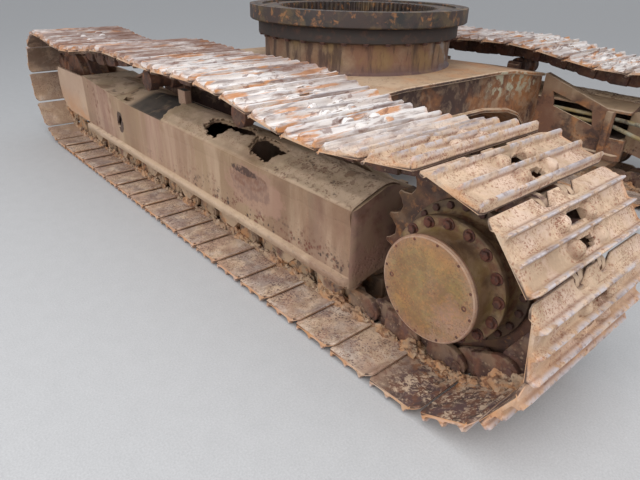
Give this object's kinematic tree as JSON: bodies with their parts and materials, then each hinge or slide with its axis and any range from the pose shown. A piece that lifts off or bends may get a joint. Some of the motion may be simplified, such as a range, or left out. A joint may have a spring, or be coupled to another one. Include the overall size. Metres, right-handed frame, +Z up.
{
  "type": "crawler excavator undercarriage",
  "caption": "Crawler undercarriage of an excavator: two tracks with triple-grouser shoes on their frames, a carbody and a turning swing ring.",
  "frame": {"origin": "on the ground under the swing axis, at the middle of the tracks' length and width", "axes": "+X forward to the idlers, +Y to the machine's left, +Z up along the swing axis"},
  "size_m": [4.1457, 2.8, 1.013],
  "materials": {
    "rusty_paint": "rough rusted paint",
    "dusty_paint": "dusty matt paint",
    "bearing_steel": "oiled dark steel",
    "bearing_rust": "rusted steel",
    "track_steel": "worn steel with dried mud",
    "cast_steel": "dark rusted casting",
    "drive_paint": "matt worn paint",
    "hose_rubber": "matt"
  },
  "bodies": {
    "undercarriage": {"carbody": "rusty_paint", "pedestal": "dusty_paint", "swing_ring_inner": "bearing_steel", "centre_swivel": "dusty_paint", "track_frame_left": "dusty_paint", "track_left": "track_steel", "sprocket_left": "cast_steel", "final_drive_left": "drive_paint", "drive_cover_left": "drive_paint", "travel_motor_left": "rusty_paint", "idler_left": "cast_steel", "idler_yoke_left": "rusty_paint", "track_rollers_left": "cast_steel", "carrier_rollers_left": "cast_steel", "carrier_brackets_left": "rusty_paint", "travel_hoses_left": "hose_rubber", "track_frame_right": "dusty_paint", "track_right": "track_steel", "sprocket_right": "cast_steel", "final_drive_right": "drive_paint", "drive_cover_right": "drive_paint", "travel_motor_right": "rusty_paint", "idler_right": "cast_steel", "idler_yoke_right": "rusty_paint", "track_rollers_right": "cast_steel", "carrier_rollers_right": "cast_steel", "carrier_brackets_right": "rusty_paint", "travel_hoses_right": "hose_rubber"},
    "turntable": {"swing_ring_outer": "bearing_rust"}
  },
  "joints": [
    {"name": "swing", "type": "hinge", "parent": "undercarriage", "child": "turntable", "pos_m": [0, 0, 0.95], "axis": [0, 0, 1], "continuous": true}
  ]
}
